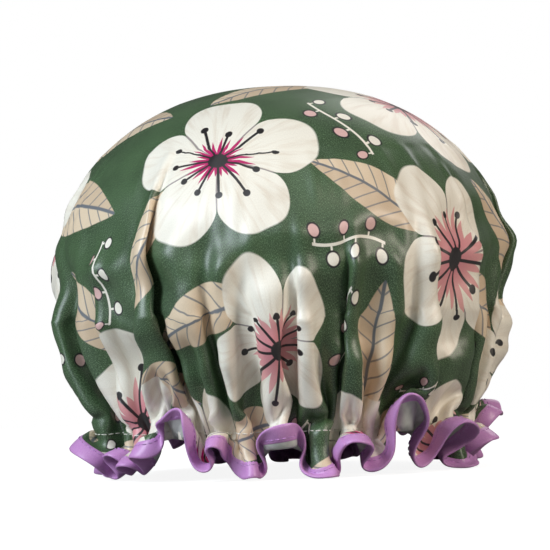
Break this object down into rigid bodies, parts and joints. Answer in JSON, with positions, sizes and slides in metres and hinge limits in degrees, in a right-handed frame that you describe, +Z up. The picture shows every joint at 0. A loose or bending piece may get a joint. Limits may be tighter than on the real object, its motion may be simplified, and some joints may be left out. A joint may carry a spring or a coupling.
{
  "type": "shower cap",
  "caption": "Puffed shower cap of printed satin over a waterproof lining, gathered on an elastic band above a ruffled frill with a bound edge.",
  "frame": {"origin": "on the floor under the middle of the cap, level with the lowest lobes of the frill", "axes": "+Z up through the crown, -Y towards the side the picture shows, +X to that side's right"},
  "size_m": [0.2464, 0.2464, 0.2065],
  "materials": {
    "printed_satin": "woven polyester satin, printed, soft sheen",
    "lining_film": "milky soft plastic film",
    "knitted_elastic": "knitted flat elastic, matt",
    "white_thread": "spun polyester thread",
    "lilac_binding": "satin binding tape, soft sheen",
    "lilac_thread": "spun polyester thread"
  },
  "bodies": {
    "root": {"outer_shell": "printed_satin", "waterproof_lining": "lining_film", "elastic_band": "knitted_elastic", "elastic_tack": "white_thread", "gather_stitching": "white_thread", "edge_binding": "lilac_binding", "binding_stitching": "lilac_thread"}
  },
  "joints": []
}
